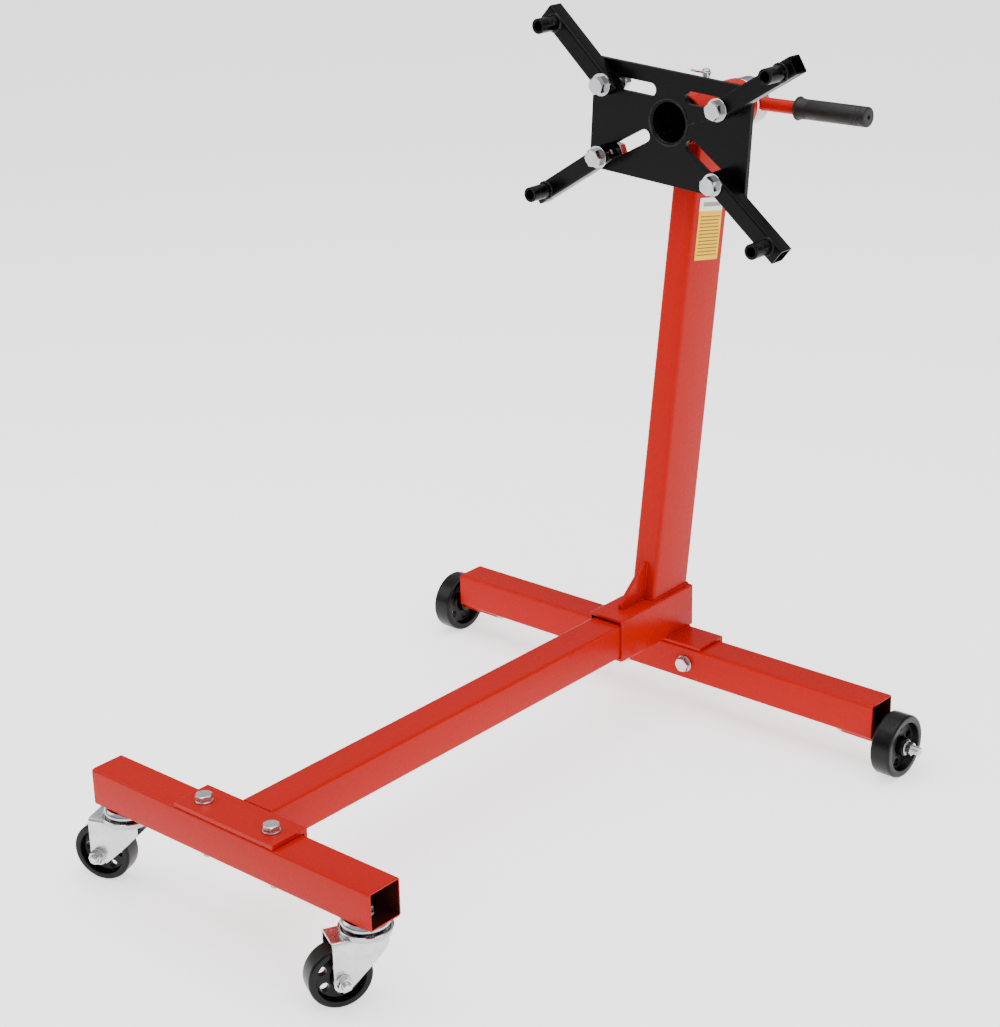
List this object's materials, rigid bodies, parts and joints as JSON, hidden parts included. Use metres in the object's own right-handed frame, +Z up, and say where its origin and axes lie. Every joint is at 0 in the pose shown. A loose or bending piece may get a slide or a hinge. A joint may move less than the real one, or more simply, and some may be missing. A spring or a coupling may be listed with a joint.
{
  "type": "engine stand",
  "caption": "T-shaped tubular base on swivel casters and fixed wheels, leaning post, and a rotating slotted head plate with adjustable engine arms, pull pin and side handle.",
  "frame": {"origin": "on the floor under the centre of the bounding box", "axes": "+X right along the crossbars, +Y from the front crossbar towards the post and the head's handle side, +Z up; the head plate faces -Y"},
  "size_m": [0.8642, 1.106, 0.9847],
  "materials": {
    "red_powder_coat": "glossy red powder coat",
    "black_paint": "semi-gloss black paint",
    "zinc_plate": "bright zinc plating",
    "black_wheel": "black enamel on cast wheels",
    "grip_rubber": "matte black rubber",
    "label_yellow": "yellow and white adhesive label with no lettering"
  },
  "bodies": {
    "base": {"axle_tube_left": "red_powder_coat", "axle_tube_right": "red_powder_coat", "base_socket": "red_powder_coat", "caster_nut_left": "zinc_plate", "caster_nut_right": "zinc_plate", "caster_stem_left": "zinc_plate", "caster_stem_right": "zinc_plate", "front_bolt_left": "zinc_plate", "front_bolt_right": "zinc_plate", "front_crossbar": "red_powder_coat", "front_nut_left": "zinc_plate", "front_nut_right": "zinc_plate", "head_sleeve": "red_powder_coat", "leg_clamp_bolt": "zinc_plate", "leg_clamp_nut": "red_powder_coat", "leg_front_bracket": "red_powder_coat", "main_leg": "red_powder_coat", "post_gusset": "red_powder_coat", "rear_axle_left": "zinc_plate", "rear_axle_nut_left": "zinc_plate", "rear_axle_nut_right": "zinc_plate", "rear_axle_right": "zinc_plate", "rear_crossbeam": "red_powder_coat", "saddle_angle": "red_powder_coat", "saddle_bolt_left": "zinc_plate", "saddle_bolt_right": "zinc_plate", "saddle_nut_left": "zinc_plate", "saddle_nut_right": "zinc_plate", "upright_post": "red_powder_coat", "warning_label": "label_yellow"},
    "head": {"mounting_plate": "black_paint", "spindle": "black_paint", "spindle_collar": "zinc_plate", "handle_bar": "red_powder_coat", "handle_grip": "grip_rubber"},
    "lock": {"lock_pin": "zinc_plate", "lock_ring": "zinc_plate"},
    "carriage_tl": {"arm_bolt_tl": "zinc_plate", "arm_nut_tl": "zinc_plate"},
    "arm_tl": {"arm_tl": "black_paint"},
    "carriage_tr": {"arm_bolt_tr": "zinc_plate", "arm_nut_tr": "zinc_plate"},
    "arm_tr": {"arm_tr": "black_paint"},
    "carriage_bl": {"arm_bolt_bl": "zinc_plate", "arm_nut_bl": "zinc_plate"},
    "arm_bl": {"arm_bl": "black_paint"},
    "carriage_br": {"arm_bolt_br": "zinc_plate", "arm_nut_br": "zinc_plate"},
    "arm_br": {"arm_br": "black_paint"},
    "caster_left": {"caster_fork_left": "zinc_plate", "caster_axle_left": "zinc_plate", "caster_axle_nut_left": "zinc_plate"},
    "caster_wheel_left": {"caster_wheel_left": "black_wheel"},
    "rear_wheel_left": {"rear_wheel_left": "black_wheel"},
    "caster_right": {"caster_fork_right": "zinc_plate", "caster_axle_right": "zinc_plate", "caster_axle_nut_right": "zinc_plate"},
    "caster_wheel_right": {"caster_wheel_right": "black_wheel"},
    "rear_wheel_right": {"rear_wheel_right": "black_wheel"}
  },
  "joints": [
    {"name": "head_rotation", "type": "hinge", "parent": "base", "child": "head", "pos_m": [0, 0.36045, 0.841], "axis": [0, 1, 0], "continuous": true},
    {"name": "lock_pin_slide", "type": "slide", "parent": "base", "child": "lock", "axis": [0, 0, -1], "range_m": [0, 0.008]},
    {"name": "arm_tl_slide", "type": "slide", "parent": "head", "child": "carriage_tl", "axis": [0.9976, 0, -0.0698], "range_m": [-0.006, 0.045]},
    {"name": "arm_tl_swivel", "type": "hinge", "parent": "carriage_tl", "child": "arm_tl", "pos_m": [-0.09267, 0.33515, 0.88618], "axis": [0, 1, 0], "range_deg": [-18, 18]},
    {"name": "arm_tr_slide", "type": "slide", "parent": "head", "child": "carriage_tr", "axis": [-0.9976, 0, 0.0698], "range_m": [-0.006, 0.045]},
    {"name": "arm_tr_swivel", "type": "hinge", "parent": "carriage_tr", "child": "arm_tr", "pos_m": [0.09806, 0.33515, 0.87284], "axis": [0, 1, 0], "range_deg": [-18, 18]},
    {"name": "arm_bl_slide", "type": "slide", "parent": "head", "child": "carriage_bl", "axis": [0.8843, 0, 0.4668], "range_m": [-0.006, 0.045]},
    {"name": "arm_bl_swivel", "type": "hinge", "parent": "carriage_bl", "child": "arm_bl", "pos_m": [-0.10003, 0.33515, 0.78677], "axis": [0, 1, 0], "range_deg": [-18, 18]},
    {"name": "arm_br_slide", "type": "slide", "parent": "head", "child": "carriage_br", "axis": [-0.8108, 0, 0.5854], "range_m": [-0.006, 0.045]},
    {"name": "arm_br_swivel", "type": "hinge", "parent": "carriage_br", "child": "arm_br", "pos_m": [0.09151, 0.33515, 0.77337], "axis": [0, 1, 0], "range_deg": [-18, 18]},
    {"name": "caster_left_swivel", "type": "hinge", "parent": "base", "child": "caster_left", "pos_m": [-0.2055, -0.48255, 0.09], "axis": [0, 0, 1], "continuous": true},
    {"name": "caster_left_wheel", "type": "hinge", "parent": "caster_left", "child": "caster_wheel_left", "pos_m": [-0.23916, -0.49474, 0.0386], "axis": [0.3404, -0.9403, 0], "continuous": true},
    {"name": "rear_left_wheel", "type": "hinge", "parent": "base", "child": "rear_wheel_left", "pos_m": [-0.39425, 0.34845, 0.0438], "axis": [1, 0, 0], "continuous": true},
    {"name": "caster_right_swivel", "type": "hinge", "parent": "base", "child": "caster_right", "pos_m": [0.2055, -0.48255, 0.09], "axis": [0, 0, 1], "continuous": true},
    {"name": "caster_right_wheel", "type": "hinge", "parent": "caster_right", "child": "caster_wheel_right", "pos_m": [0.18897, -0.51431, 0.0386], "axis": [0.887, -0.4617, 0], "continuous": true},
    {"name": "rear_right_wheel", "type": "hinge", "parent": "base", "child": "rear_wheel_right", "pos_m": [0.39425, 0.34845, 0.0438], "axis": [1, 0, 0], "continuous": true}
  ]
}
